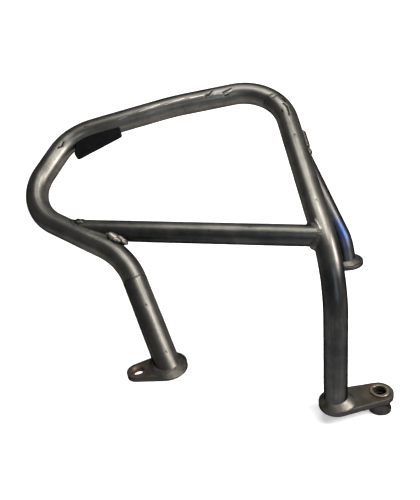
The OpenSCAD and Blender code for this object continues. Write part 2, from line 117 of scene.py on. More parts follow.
BRACE_DIR = unit(BRACE_REAR - BRACE_FRONT)

# The camera, fitted to the photo's outline. Pixels are those of a frame 420 wide and 500 high.

FRAME_W, FRAME_H = 420, 500
FOCAL_PX = 480
EYE = np.array([-131.8, -409.0, 392.7])
VIEW = unit(np.array([-0.0566068, 0.9135455, -0.4027783]))
RIGHT = unit(np.array([0.9902681, 0.0, -0.1391731]))
UP = np.cross(RIGHT, VIEW)


def pixel(points):
    """Where points land in the photo's frame."""
    q = points - EYE
    depth = q @ VIEW
    return np.stack(
        [FRAME_W / 2 + FOCAL_PX * (q @ RIGHT) / depth, FRAME_H / 2 - FOCAL_PX * (q @ UP) / depth],
        axis=-1,
    )


def make_camera():
    data = bpy.data.cameras.new("camera")
    data.sensor_width = 36
    data.lens = FOCAL_PX * data.sensor_width / FRAME_H
    data.clip_start = 0.01
    cam = bpy.data.objects.new("camera", data)
    bpy.context.scene.collection.objects.link(cam)
    rows = Matrix((RIGHT, UP, -VIEW)).transposed().to_4x4()
    cam.matrix_world = Matrix.Translation(Vector(EYE * MM)) @ rows
    bpy.context.scene.camera = cam


# Smooth noise for the meshes

RNG = np.random.default_rng(7)
WAVE_COUNT = 24


class Waves:
    """Smooth noise: a sum of sine waves in random directions, between about -1 and 1."""

    def __init__(self, size):
        self.k = RNG.normal(size=(WAVE_COUNT, 3)) / size
        self.phase = RNG.uniform(0, 2 * math.pi, WAVE_COUNT)
        self.scale = 1.6 / math.sqrt(WAVE_COUNT)

    def __call__(self, points):
        return self.scale * np.sin(points @ self.k.T + self.phase).sum(-1)


def bump(x):
    """A smooth hill: 1 at 0, and nearly 0 from 2 on."""
    return np.exp(-x * x)


# Meshes

STATION_STEP = 1.5
SLIDES = 14
FAR = 100


def new_object(name, verts, faces, attributes=None):
    mesh = bpy.data.meshes.new(name)
    mesh.from_pydata((np.asarray(verts) * MM).tolist(), [], [list(f) for f in faces])
    mesh.validate()
    for key, values in (attributes or {}).items():
        kind = "FLOAT_VECTOR" if np.ndim(values) == 2 else "FLOAT"
        field = "vector" if kind == "FLOAT_VECTOR" else "value"
        mesh.attributes.new(key, kind, "POINT").data.foreach_set(
            field, np.asarray(values, np.float32).ravel()
        )
    mesh.shade_smooth()
    obj = bpy.data.objects.new(name, mesh)
    bpy.context.scene.collection.objects.link(obj)
    return obj


def grid_faces(rows, cols, first=0, flip=False):
    """Quads between rings of cols points, closed round each ring."""
    i = np.arange(rows - 1)[:, None] * cols + first
    j = np.arange(cols)[None, :]
    k = (j + 1) % cols
    quads = np.stack([i + j, i + cols + j, i + cols + k, i + k], axis=-1).reshape(-1, 4)
    return quads[:, ::-1] if flip else quads


def route_stations(points, radii):
    """Middles and directions along straight runs and bends."""
    mids, dirs = [], []
    take = [0.0] * len(points)
    for i in range(1, len(points) - 1):
        a, b = unit(points[i] - points[i - 1]), unit(points[i + 1] - points[i])
        take[i] = radii[i] * math.tan(math.acos(a @ b) / 2)
    for i in range(len(points) - 1):
        d = unit(points[i + 1] - points[i])
        start = points[i] + take[i] * d
        run = np.linalg.norm(points[i + 1] - points[i]) - take[i] - take[i + 1]
        n = max(2, round(run / STATION_STEP))
        for t in np.linspace(0, run, n, endpoint=i == len(points) - 2):
            mids.append(start + t * d)
            dirs.append(d)
        if i < len(points) - 2:
            e = unit(points[i + 2] - points[i + 1])
            turn = math.acos(d @ e)
            side = unit(e - d * (d @ e))
            centre = start + run * d + radii[i + 1] * side
            n = max(2, round(turn * radii[i + 1] / STATION_STEP))
            for t in np.linspace(0, turn, n, endpoint=False):
                mids.append(centre + radii[i + 1] * (math.sin(t) * d - math.cos(t) * side))
                dirs.append(math.cos(t) * d + math.sin(t) * side)
    return np.array(mids), np.array(dirs)


class Tube:
    """A tube swept along a route: a fine outer skin that takes marks, a plain bore and two ends.
    start_cut and end_cut say how far each end's generators run past the first or the last station,
    and blend is the length of tube that the cut's shift fades over."""

    SIDES = 96
    BORE_EVERY = 10
    WAVINESS, GRAIN = 0.04, 0.012
    PIT_DARK = 0.95

    def __init__(self, name, points, radii, radius, start_cut=None, end_cut=None, blend=90):
        self.name, self.radius = name, radius
        self.mids, self.dirs = route_stations(points, radii)
        self.along = np.concatenate(
            [[0], np.cumsum(np.linalg.norm(np.diff(self.mids, axis=0), axis=1))]
        )
        n = unit(np.cross(self.dirs[0], [0.3, 0.2, 0.9]))
        normals = []
        for d in self.dirs:
            n = unit(n - d * (n @ d))
            normals.append(n)
        self.n1 = np.array(normals)
        self.n2 = np.cross(self.dirs, self.n1)
        self.angle = np.arange(self.SIDES) * 2 * math.pi / self.SIDES
        c, s = np.cos(self.angle)[None, :, None], np.sin(self.angle)[None, :, None]
        self.out = c * self.n1[:, None] + s * self.n2[:, None]
        self.shift = np.zeros((len(self.mids), self.SIDES))
        length = self.along[-1]
        if start_cut is not None:
            fade = np.clip(1 - self.along / blend, 0, 1)[:, None]
            self.shift += fade * start_cut(self.mids[0] + radius * self.out[0], self.dirs[0])
        if end_cut is not None:
            fade = np.clip(1 - (length - self.along) / blend, 0, 1)[:, None]
            self.shift += fade * end_cut(self.mids[-1] + radius * self.out[-1], self.dirs[-1])
        self.skin = self.place(radius)
        self.dent = np.zeros(self.shift.shape)
        self.bright = np.zeros(self.shift.shape)
        self.dark = np.zeros(self.shift.shape)
        # scale holds the share of painted shade at each skin point
        self.scale = np.zeros(self.shift.shape)
        self.blue = np.zeros(self.shift.shape)

    def place(self, radius):
        return (
            self.mids[:, None]
            + radius * self.out
            + self.shift[..., None] * self.dirs[:, None]
        )

    def nearest(self, q):
        """The points of the tube's centreline nearest to the points q."""
        i = ((q[:, None] - self.mids[None]) ** 2).sum(-1).argmin(1)
        ahead = ((q - self.mids[i]) * self.dirs[i]).sum(-1)
        return self.mids[i] + ahead[:, None] * self.dirs[i]

    def slide(self, q, d):
        """Moves the points q back along d until they lie on the tube."""
        q = q.copy()
        for _ in range(SLIDES):
            w = q - self.nearest(q)
            dist = np.linalg.norm(w, axis=1)
            slope = np.maximum((w @ d) / dist, 0.05)
            q -= ((dist - self.radius) / slope)[:, None] * d
        return q

    def hit(self, px):
        """The station and angle of the visible skin point nearest to a pixel of the photo."""
        facing = ((self.skin - EYE) * self.out).sum(-1) < 0
        off = np.linalg.norm(pixel(self.skin) - px, axis=-1)
        off[~facing] = 1e9
        i, j = np.unravel_index(off.argmin(), off.shape)
        return i, j

    def around(self, px):
        """Each skin point's distance along and round the tube from a pixel's point."""
        i, j = self.hit(px)
        ds = self.along[:, None] + self.shift - self.along[i] - self.shift[i, j]
        da = (self.angle[None, :] - self.angle[j] + math.pi) % (2 * math.pi) - math.pi
        return ds, da * self.radius + 0 * ds

    def pit(self, px, size, deep, lip):
        """A dark round pit with a raised lip."""
        ds, da = self.around(px)
        r = np.hypot(ds, da) / size
        self.dent += -deep * bump(r) + lip * bump((r - 1.35) / 0.4)
        self.dark = np.maximum(self.dark, self.PIT_DARK * bump(r))

    def stroke(self, px, to, wide, deep=0.0, bright=0.0, dark=0.0):
        """A scratch or a crease between two pixels' points. wide is a half width."""
        ds, da = self.around(px)
        i, j = self.hit(to)
        es, ea = ds[i, j], da[i, j]
        t = np.clip((ds * es + da * ea) / (es * es + ea * ea), 0, 1)
        r = np.hypot(ds - t * es, da - t * ea) / wide
        self.dent += -deep * bump(r)
        self.bright = np.maximum(self.bright, bright * bump(r * r))
        self.dark = np.maximum(self.dark, dark * bump(r * r))

    def build(self, heat):
        lumps = Waves(14.0)
        grain = Waves(2.2)
        self.dent += self.WAVINESS * lumps(self.skin) + self.GRAIN * grain(self.skin)
        outer = self.skin + self.dent[..., None] * self.out
        m, rows = self.SIDES, len(self.mids)
        keep = np.unique(np.append(np.arange(0, rows, self.BORE_EVERY), rows - 1))
        inner = self.place(self.radius - WALL)[keep]
        verts = np.vstack([outer.reshape(-1, 3), inner.reshape(-1, 3)])
        first = rows * m
        faces = [grid_faces(rows, m, flip=True), grid_faces(len(keep), m, first)]
        j = np.arange(m)
        k = (j + 1) % m
        last, last_bore = (rows - 1) * m, first + (len(keep) - 1) * m
        for ring, bore, flip in ((0, first, False), (last, last_bore, True)):
            quads = np.stack([ring + j, ring + k, bore + k, bore + j], axis=-1)
            faces.append(quads[:, ::-1] if flip else quads)
        line = np.stack(
            [
                self.along[:, None] + self.shift,
                self.radius * np.cos(self.angle)[None, :] + 0 * self.shift,
                self.radius * np.sin(self.angle)[None, :] + 0 * self.shift,
            ],
            axis=-1,
        )
        spare = len(inner.reshape(-1, 3))

        def fill(values):
            return np.concatenate([np.clip(values, 0, 1).ravel(), np.zeros(spare)])

        attributes = {
            "line": np.vstack([line.reshape(-1, 3), line[keep].reshape(-1, 3)]),
            "heat": fill(heat(self.skin)),
            "bright": fill(self.bright),
            "dark": fill(self.dark),
            "scale": fill(self.scale),
            "blue": fill(self.blue),
        }
        return new_object(self.name, verts, np.vstack(faces), attributes)


def onto_plane(z):
    """A cut that carries a tube's generators on to a level plane."""
    return lambda ring, d: (z - ring[:, 2]) / d[2]


def onto_tube(main, sign):
    """A cut that carries generators on to the outside of another tube. sign is 1 where they
    start in that tube and -1 where they end in it."""
    return lambda ring, d: (main.slide(ring + sign * FAR * d, sign * d) - ring) @ d


def stand_in(obj, slot, *nodes):
    """Puts a piece on the part's one body, in place of its CAD nodes."""
    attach(obj, "root")
    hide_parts(*nodes)
    return obj


# Weld beads

BEAD_SIDES = 11
BEAD_STATIONS = 360
SUNK = 0.4
BLOB_RINGS, BLOB_SIDES = 14, 24
BLOB_FLAT = 0.6
BLOB_CREST = 0.2


def blob(centre, normal, radius):
    """A lump of weld metal: a ball, flattened along normal and made uneven."""
    e1 = unit(np.cross(normal, [0.2, 0.9, 0.3]))
    e2 = np.cross(normal, e1)
    up = np.linspace(0.02, math.pi - 0.02, BLOB_RINGS)[:, None, None]
    turn = (np.arange(BLOB_SIDES) * 2 * math.pi / BLOB_SIDES)[None, :, None]
    ball = np.sin(up) * (np.cos(turn) * e1 + np.sin(turn) * e2) + BLOB_FLAT * np.cos(up) * normal
    p = centre + radius * ball
    p = p + 0.11 * radius * Waves(0.42 * radius)(p)[..., None] * unit_rows(ball)
    faces = grid_faces(BLOB_RINGS, BLOB_SIDES).tolist()
    last = (BLOB_RINGS - 1) * BLOB_SIDES
    faces += [list(range(BLOB_SIDES)), [last + j for j in reversed(range(BLOB_SIDES))]]
    return p.reshape(-1, 3), faces


def bead(name, roots, tops, toes, painted_shine, flatness=1.3, ripple=0.16, pitch=2.0, lump=0.16, blobs=()):
    """A closed bead with the rippled face of a weld. Each station has a root in the corner, a top
    on the branch and a toe on what carries it. shine says how strong the painted highlight on
    each station's crests is. The face is a quarter round at a flatness of 1 and flat at 2. ripple
    and lump are heights, and pitch is the ripples' length. blobs are lumps on it, each with its
    centre, normal, radius and the strength of its painted highlight."""
    w = np.linspace(0, 1, BEAD_SIDES)[None, :, None]
    up = np.cos(w * math.pi / 2) ** flatness
    out = np.sin(w * math.pi / 2) ** flatness
    a, b = (tops - roots)[:, None], (toes - roots)[:, None]
    face = roots[:, None] + up * a + out * b
    lift = unit_rows(tops + toes - 2 * roots)[:, None]
    steps = np.linalg.norm(np.diff(roots, axis=0, append=roots[:1]), axis=1)
    s = np.concatenate([[0], np.cumsum(steps)[:-1]])[:, None]
    turns = max(4, round(steps.sum() / pitch))
    phase = s / steps.sum() * turns + 0.3 * np.sin(math.pi * w[..., 0])
    crest = np.abs(np.cos(math.pi * phase)) - 0.6
    held = np.sin(math.pi * w[..., 0]) ** 0.6
    size = np.linalg.norm(tops - roots, axis=1)[:, None] / 3
    rise = held * (ripple * crest + lump * Waves(2.6)(face) * np.minimum(size, 1.6))
    face = face + rise[..., None] * lift
    ring = np.concatenate([face, (roots - SUNK * lift[:, 0])[:, None]], axis=1)
    n, m = ring.shape[:2]
    i, j = np.arange(n)[:, None], np.arange(m)[None, :]
    i2, j2 = (i + 1) % n, (j + 1) % m
    quads = np.stack([i * m + j, i2 * m + j, i2 * m + j2, i * m + j2], axis=-1).reshape(-1, 4)
    p = ring.reshape(-1, 3)
    volume = np.einsum("ij,ij->i", p[quads[:, 0]], np.cross(p[quads[:, 1]], p[quads[:, 2]])).sum()
    if volume < 0:
        quads = quads[:, ::-1]
    faces = quads.tolist()
    painted_shines = [np.repeat(painted_shine[:, None], m, axis=1).ravel()]
    crests = [np.pad(min(1, 8 * ripple) * crest + 0 * face[..., 0], ((0, 0), (0, 1))).ravel()]
    for centre, normal, radius, lit in blobs:
        q, more = blob(centre, normal, radius)
        faces += [[k + len(p) for k in f] for f in more]
        p = np.vstack([p, q])
        painted_shines.append(np.full(len(q), lit))
        crests.append(np.full(len(q), BLOB_CREST))
    return new_object(
        name, p, faces, {"painted_shine": np.concatenate(painted_shines), "crest": np.concatenate(crests)}
    )


def around_branch(d, toward):
    """Angles round a branch from the side toward, and the directions out of it."""
    e1 = unit(toward - d * (d @ toward))
    e2 = np.cross(d, e1)
    a = np.linspace(0, 2 * math.pi, BEAD_STATIONS, endpoint=False)
    return a, np.cos(a)[:, None] * e1 + np.sin(a)[:, None] * e2


def saddle(name, main, p, d, toward, leg, swell, bright, spots=()):
    """The bead round a branch of the brace's radius that stands on the main tube at p. leg is its
    width, and swell what it gains on the side toward. bright gives the painted highlight's strength
    at each angle. spots are its blobs, each with a pixel of the photo, a radius, a rise off the tube
    and the strength of its painted highlight."""
    a, n = around_branch(d, toward)
    roots = main.slide(p + (BRACE_R - 0.2) * n + FAR * d, d)
    normal = unit_rows(roots - main.nearest(roots))
    away = unit_rows(n - normal * (n * normal).sum(-1, keepdims=True))
    reach = (leg * (1 + 0.12 * Waves(6.0)(roots)) + swell * np.maximum(0, np.cos(a)) ** 4)[:, None]
    tops = roots + d * reach
    toes = roots + away * reach
    under = main.nearest(toes)
    toes = under + (main.radius - 0.05) * unit_rows(toes - under)
    blobs = []
    for px, size, rise, lit in spots:
        i, j = main.hit(px)
        blobs.append((main.skin[i, j] + rise * main.out[i, j], main.out[i, j], size, lit))
    return bead(name, roots, tops, toes, bright(a), blobs=blobs), roots


def fillet(name, foot, d, radius, leg, swell, toward, bright):
    """The bead round a tube that stands on a level plate at foot."""
    a, n = around_branch(d, toward)
    n = (radius - 0.1) * n
    roots = foot + n - d * (n[:, 2:] / d[2])
    flat = unit_rows(n * [1, 1, 0])
    tall = (leg * (1 + 0.08 * Waves(7.0)(roots)))[:, None]
    reach = tall + swell * np.maximum(0, np.cos(a))[:, None] ** 2
    toes = roots + flat * reach
    toes[:, 2] = foot[2] - 0.03
    tops = roots + d * tall
    return bead(name, roots, tops, toes, bright(a), flatness=1.9, ripple=0.0, pitch=3.2, lump=0.03), roots


def collar(name, p, d, leg, rise, painted_shine):
    """A low bead round a tube of the hoop's radius, over a butt joint."""
    a, n = around_branch(d, np.array([0.2, 0.1, 1.0]))
    edge = 1 + 0.1 * Waves(3.0)(TUBE_R * n)[:, None]
    roots = p + (TUBE_R - 0.3) * n
    tops = p + TUBE_R * n - d * leg / 2 * edge
    toes = p + TUBE_R * n + d * leg / 2 * edge
    return bead(name, roots, tops, toes, 0 * a + painted_shine, flatness=0.75, ripple=rise / 2, lump=0.05)


def spacer_bead():
    """The bead round the spacer, in its corner under the rear plate."""
    a, n = around_branch(np.array([0, 0, 1.0]), np.array([1.0, 0, 0]))
    roots = np.array([0, 0, SPACER_L]) + (SPACER_R - 0.2) * n
    return bead("spacer_bead", roots, roots - [0, 0, 2.0], roots + 2.1 * n, 0 * a + 0.1, flatness=1.7)


RUN_DOWN, RUN_L = 74, 38
RUN_R, RUN_RISE = 5.0, 3.0
RUN_TURN = math.radians(62)
RUN_ROWS, RUN_SIDES = 160, 24
NOTCH_AT, NOTCH_DEEP = 27, 0.75


def run_of_weld():
    """A raised run of weld, laid along the hoop's rear side, with a notch near its lower end."""
    d = REAR_SIDE_DIR
    stub_side = unit(STUB_TOP_DIR - d * (STUB_TOP_DIR @ d))
    side = stub_side * math.cos(RUN_TURN) + np.cross(d, stub_side) * math.sin(RUN_TURN)
    e2 = np.cross(d, side)
    s = np.linspace(0, 1, RUN_ROWS) * RUN_L
    end = np.sqrt(np.clip(np.minimum(s, RUN_L - s) / RUN_R, 0, 1))
    notch = 1 - NOTCH_DEEP * bump((s - NOTCH_AT) / 1.6)
    tall = (RUN_RISE + RUN_R) * end * notch
    tall = tall * (1 + 0.015 * np.abs(np.cos(math.pi * s / 2.2)) + 0.03 * Waves(6.0)(s[:, None] * d))
    a = np.arange(RUN_SIDES) * 2 * math.pi / RUN_SIDES
    across = np.sin(a)[None, :] * np.maximum(RUN_R * end, 0.2)[:, None]
    up = np.cos(a)[None, :] * np.maximum(tall, 0.2)[:, None] / 2 + TUBE_R - RUN_R / 2
    up = up + (RUN_RISE - 0.5) / 2 * end[:, None]
    q = up[..., None] * side + across[..., None] * e2
    r = np.linalg.norm(q, axis=-1, keepdims=True)
    q = q * np.maximum(1, (TUBE_R - 0.5) / r)
    q = q + (REAR_TOP + (RUN_DOWN + s[:, None]) * d)[:, None]
    faces = grid_faces(RUN_ROWS, RUN_SIDES, flip=True).tolist()
    last = (RUN_ROWS - 1) * RUN_SIDES
    faces += [list(range(RUN_SIDES)), [last + j for j in reversed(range(RUN_SIDES))]]
    # A faint painted highlight on the run's crests.
    painted_shine = 0.02 + 0.02 * Waves(5.0)(q)
    # crest marks the notch, which weld_metal paints black as shade.
    crest = -2 * bump((s[:, None] - NOTCH_AT) / 1.1) + 0 * painted_shine
    attributes = {"painted_shine": painted_shine.ravel(), "crest": crest.ravel()}
    return new_object("stub_run_bead", q.reshape(-1, 3), faces, attributes)


# Plates and turned pieces: the CAD forms with their edges broken

def eased(node, width, segments=2):
    """A copy of a CAD node whose sharp edges are rounded off."""
    mesh = frame["nodes"][node].data.copy()
    bm = bmesh.new()
    bm.from_mesh(mesh)
    bmesh.ops.remove_doubles(bm, verts=bm.verts, dist=1e-6)
    bmesh.ops.dissolve_limit(bm, angle_limit=math.radians(0.5), verts=bm.verts, edges=bm.edges)
    sharp = [e for e in bm.edges if len(e.link_faces) == 2 and e.calc_face_angle(0) > math.radians(35)]
    bmesh.ops.bevel(bm, geom=sharp, offset=width * MM, segments=segments, profile=0.5,
                    affect="EDGES", clamp_overlap=True)
    bmesh.ops.triangulate(bm, faces=[f for f in bm.faces if len(f.verts) > 4])
    bm.to_mesh(mesh)
    bm.free()
    mesh.materials.clear()
    mesh.shade_smooth()
    mesh.set_sharp_from_angle(angle=math.radians(32))
    obj = bpy.data.objects.new(node + "_eased", mesh)
    bpy.context.scene.collection.objects.link(obj)
    return obj


PAD_VOXEL = 0.45
PAD_LIFT = 0.05


def moulded_pad():
    """The pad, remeshed fine so that its edges are soft and its faces a little uneven."""
    mesh = frame["nodes"]["impact_pad"].data.copy()
    obj = bpy.data.objects.new("moulded_pad", mesh)
    bpy.context.scene.collection.objects.link(obj)
    mesh.materials.clear()
    remesh = obj.modifiers.new("remesh", "REMESH")
    remesh.mode = "VOXEL"
    remesh.voxel_size = PAD_VOXEL * MM
    soften = obj.modifiers.new("soften", "SMOOTH")
    soften.factor = 0.5
    soften.iterations = 5
    graph = bpy.context.evaluated_depsgraph_get()
    done = bpy.data.meshes.new_from_object(obj.evaluated_get(graph))
    obj.modifiers.clear()
    obj.data = done
    co = np.empty(len(done.vertices) * 3, np.float32)
    no = np.empty(len(done.vertices) * 3, np.float32)
    done.vertices.foreach_get("co", co)
    done.vertices.foreach_get("normal", no)
    co, no = co.reshape(-1, 3), no.reshape(-1, 3)
    lift = PAD_LIFT * MM * Waves(5.0)(co / MM)
    done.vertices.foreach_set("co", (co + lift[:, None] * no).astype(np.float32).ravel())
    done.shade_smooth()
    return obj


# Materials. Colours are linear.

class Graph:
    """A material's nodes, built from its shader back."""

    def __init__(self, name):
        self.mat = bpy.data.materials.new(name)
        self.mat.use_nodes = True
        self.tree = self.mat.node_tree
        self.shader = self.tree.nodes["Principled BSDF"]

    def put(self, socket, value):
        if isinstance(value, bpy.types.NodeSocket):
            self.tree.links.new(value, socket)
        else:
            socket.default_value = value

    def node(self, kind, values=None, **settings):
        made = self.tree.nodes.new("ShaderNode" + kind)
        for key, value in settings.items():
            setattr(made, key, value)
        for key, value in (values or {}).items():
            self.put(made.inputs[key], value)
        return made

    def mix(self, share, a, b):
        made = self.node("Mix", {0: share, 6: a, 7: b}, data_type="RGBA")
        return made.outputs[2]

    def maths(self, operation, a, b=0.0):
        return self.node("Math", {0: a, 1: b}, operation=operation).outputs[0]

    def step(self, value, low, high, to_low=0.0, to_high=1.0):
        values = {"Value": value, "From Min": low, "From Max": high, "To Min": to_low, "To Max": to_high}
        return self.node("MapRange", values, clamp=True).outputs[0]

    def noise(self, vector, scale, detail, roughness):
        values = {"Vector": vector, "Scale": scale, "Detail": detail, "Roughness": roughness}
        return self.node("TexNoise", values).outputs["Fac"]

    def rings(self, along, scale):
        """Noise along one value, as a tool leaves it on a turned face."""
        values = {"W": along, "Scale": scale, "Detail": 3.0}
        return self.node("TexNoise", values, noise_dimensions="1D").outputs["Fac"]

    def value(self, name):
        return self.node("Attribute", attribute_name=name).outputs["Fac"]

    def vector(self, name):
        return self.node("Attribute", attribute_name=name).outputs["Vector"]

    def stretched(self, vector, scale):
        return self.node("Mapping", {"Vector": vector, "Scale": scale}).outputs[0]

    def place(self):
        """The point's place in millimetres."""
        return self.stretched(self.node("TexCoord").outputs["Object"], (1 / MM, 1 / MM, 1 / MM))

    def part(self, vector, axis):
        return self.node("SeparateXYZ", {0: vector}).outputs[axis]

    def bump(self, height, distance, strength, normal=None):
        values = {"Height": height, "Distance": distance * MM, "Strength": strength}
        if normal is not None:
            values["Normal"] = normal
        return self.node("Bump", values).outputs[0]

    def finish(self, colour, roughness, normal, metallic=1.0, edge=(0.3, 0.3, 0.3, 1)):
        self.put(self.shader.inputs["Base Color"], colour)
        self.put(self.shader.inputs["Roughness"], roughness)
        self.put(self.shader.inputs["Normal"], normal)
        self.put(self.shader.inputs["Metallic"], metallic)
        self.shader.inputs["Specular Tint"].default_value = edge
        return self.mat


TUBE_DARK, TUBE_PALE = (0.060, 0.058, 0.052, 1), (0.102, 0.098, 0.088, 1)
DRAWN_DARK, DRAWN_PALE = (0.036, 0.036, 0.034, 1), (0.150, 0.144, 0.132, 1)
# The dark blue-grey of the painted shade.
PAINTED_SHADE = (0.012, 0.0135, 0.0155, 1)
HEAT_TINTS = (
    (0.0, (0.080, 0.066, 0.050, 1)), (0.35, (0.082, 0.058, 0.042, 1)),
    (0.55, (0.054, 0.038, 0.046, 1)), (0.75, (0.030, 0.035, 0.048, 1)),
    (1.0, (0.040, 0.038, 0.036, 1)),
)
BLUED = (0.006, 0.017, 0.052, 1)
# Bright bare steel of the scrapes, which also paints highlights.
SCRAPE_AND_GLINT = (0.36, 0.34, 0.31, 1)
# Near black, in the dents, wrinkles and pits and in random specks.
DARK_MARK = (0.004, 0.003, 0.002, 1)
PLATE_DARK, PLATE_PALE = (0.044, 0.040, 0.034, 1), (0.068, 0.061, 0.052, 1)
PLATE_SIDE = (0.022, 0.023, 0.027, 1)
PLATE_RUST = (0.066, 0.031, 0.014, 1)
BUSH_BARE, BUSH_RUST = (0.13, 0.115, 0.096, 1), (0.050, 0.030, 0.018, 1)
SPACER_DARK, SPACER_PALE = (0.018, 0.018, 0.018, 1), (0.034, 0.032, 0.030, 1)
WELD_DARK, WELD_PALE = (0.028, 0.027, 0.024, 1), (0.056, 0.053, 0.046, 1)
# The painted highlight on weld crests.
WELD_HIGHLIGHT = (0.36, 0.34, 0.30, 1)
# Sooty patches, and the painted shade in the notch.
SOOT_AND_SHADE = (0.022, 0.018, 0.015, 1)
PAD_DARK, PAD_PALE = (0.0014, 0.0016, 0.0018, 1), (0.0026, 0.0029, 0.0031, 1)
PAD_RUBBED = (0.05, 0.048, 0.045, 1)

# The rust round each bolt hole has a middle, a radius and a distance over which it fades out.

RUSTY_HOLES = ((REAR_BOLT, 9.0, 8.0), (FRONT_BOLT, 4.8, 4.0))


def tube_steel():
    """Bare tube: satin, drawn lengthwise, with painted shade, heat tint, scrapes, painted highlights and
    dark pits.
    """
    g = Graph("bare_tube_steel")
    line = g.vector("line")
    drawn = g.noise(g.stretched(line, (0.02, 0.5, 0.5)), 1.0, 4.0, 0.6)
    fine = g.noise(g.stretched(line, (0.12, 3.0, 3.0)), 1.0, 3.0, 0.6)
    cloud = g.noise(line, 0.045, 3.0, 0.6)
    speck = g.noise(line, 0.9, 3.0, 0.65)
    colour = g.mix(g.step(cloud, 0.35, 0.68), TUBE_DARK, TUBE_PALE)
    colour = g.mix(g.step(drawn, 0.40, 0.72, 0.0, 0.6), colour, DRAWN_DARK)
    colour = g.mix(g.step(fine, 0.58, 0.76, 0.0, 0.38), colour, DRAWN_PALE)
    # Painted shade: the scale attribute darkens stretches of the tubes to a dark blue-grey.
    scale = g.maths("MULTIPLY", g.value("scale"), g.step(cloud, 0.25, 0.7, 1.0, 0.75))
    colour = g.mix(scale, colour, PAINTED_SHADE)
    uneven = g.maths("MULTIPLY", g.maths("SUBTRACT", cloud, 0.5), 0.35)
    heat = g.maths("ADD", g.value("heat"), uneven)
    tint = g.node("ValToRGB", {0: heat})
    stops = tint.color_ramp.elements
    for stop, (at, shade) in zip(stops, (HEAT_TINTS[0], HEAT_TINTS[-1])):
        stop.position, stop.color = at, shade
    for at, shade in HEAT_TINTS[1:-1]:
        stops.new(at).color = shade
    colour = g.mix(g.step(heat, 0.12, 0.40, 0.0, 0.75), colour, tint.outputs[0])
    colour = g.mix(g.maths("MULTIPLY", g.value("blue"), 0.9), colour, BLUED)
    # Scrapes, and painted highlights along the top run and on the ragged toe.
    bright = g.value("bright")
    scrape_and_glint = g.step(g.maths("ADD", bright, g.maths("MULTIPLY", fine, 0.35)), 0.42, 0.75)
    scrape_and_glint = g.maths("MULTIPLY", scrape_and_glint, g.step(bright, 0.02, 0.15))
    colour = g.mix(scrape_and_glint, colour, SCRAPE_AND_GLINT)
    # Near black in the dents, wrinkles and pits, and in random specks.
    spots = g.step(speck, 0.70, 0.76, 0.0, 0.7)
    darkened = g.maths("MAXIMUM", g.value("dark"), g.maths("MULTIPLY", spots, 0.35))
    colour = g.mix(darkened, colour, DARK_MARK)
    rough = g.step(drawn, 0.3, 0.7, 0.31, 0.41)
    rough = g.maths("ADD", rough, g.maths("MULTIPLY", darkened, 0.4))
    normal = g.bump(fine, 0.012, 0.8)
    normal = g.bump(speck, 0.014, 0.7, normal)
    return g.finish(colour, rough, normal)


def plate_steel():
    """Bare plate: duller than the tubes, darker on its sides, with rust round the bolt holes."""
    g = Graph("bare_plate_steel")
    place = g.place()
    cloud = g.noise(place, 0.06, 4.0, 0.6)
    grain = g.noise(place, 1.2, 3.0, 0.6)
    colour = g.mix(g.step(cloud, 0.35, 0.65), PLATE_DARK, PLATE_PALE)
    rust = 0.0
    for centre, radius, spread in RUSTY_HOLES:
        values = {0: place, 1: tuple(centre)}
        away = g.node("VectorMath", values, operation="DISTANCE").outputs["Value"]
        rust = g.maths("MAXIMUM", rust, g.step(away, radius + spread, radius))
    level = g.maths("ABSOLUTE", g.part(g.node("NewGeometry").outputs["Normal"], "Z"))
    colour = g.mix(g.step(level, 0.35, 0.8, 0.7, 0.0), colour, PLATE_SIDE)
    stain = g.maths("MULTIPLY", rust, g.step(g.noise(place, 0.25, 4.0, 0.7), 0.38, 0.62))
    colour = g.mix(stain, colour, PLATE_RUST)
    rough = g.maths("ADD", g.step(cloud, 0.3, 0.7, 0.40, 0.52), g.maths("MULTIPLY", stain, 0.15))
    normal = g.bump(grain, 0.03, 0.8)
    metal = g.step(stain, 0.0, 1.0, 1.0, 0.5)
    return g.finish(colour, rough, normal, metal, (0.15, 0.15, 0.15, 1))


def bush_steel():
    """The bush: turned, brighter on its rim, rusty round its foot and in its bore."""
    g = Graph("rusty_bush_steel")
    place = g.place()
    flat = g.node("VectorMath", {0: place, 1: (1, 1, 0)}, operation="MULTIPLY").outputs[0]
    turned = g.rings(g.node("VectorMath", {0: flat}, operation="LENGTH").outputs["Value"], 3.0)
    cloud = g.noise(place, 0.3, 4.0, 0.65)
    worn = g.step(g.part(place, "Z"), REAR_TOP_Z, REAR_TOP_Z + 1.5)
    rust = g.maths("MULTIPLY", g.step(cloud, 0.42, 0.6), g.step(worn, 0.0, 1.0, 1.0, 0.55))
    colour = g.mix(rust, BUSH_BARE, BUSH_RUST)
    normal = g.bump(turned, 0.03, 0.8, g.bump(cloud, 0.04, 0.6))
    return g.finish(colour, g.step(rust, 0, 1, 0.30, 0.6), normal, g.step(rust, 0, 1, 1.0, 0.5))


def spacer_steel():
    """The spacer: turned and nearly black."""
    g = Graph("dark_spacer_steel")
    place = g.place()
    turned = g.rings(g.part(place, "Z"), 2.5)
    cloud = g.noise(place, 0.15, 4.0, 0.6)
    colour = g.mix(g.step(cloud, 0.35, 0.65), SPACER_DARK, SPACER_PALE)
    normal = g.bump(turned, 0.03, 0.6, g.bump(cloud, 0.03, 0.5))
    return g.finish(colour, g.step(cloud, 0.3, 0.7, 0.36, 0.5), normal)


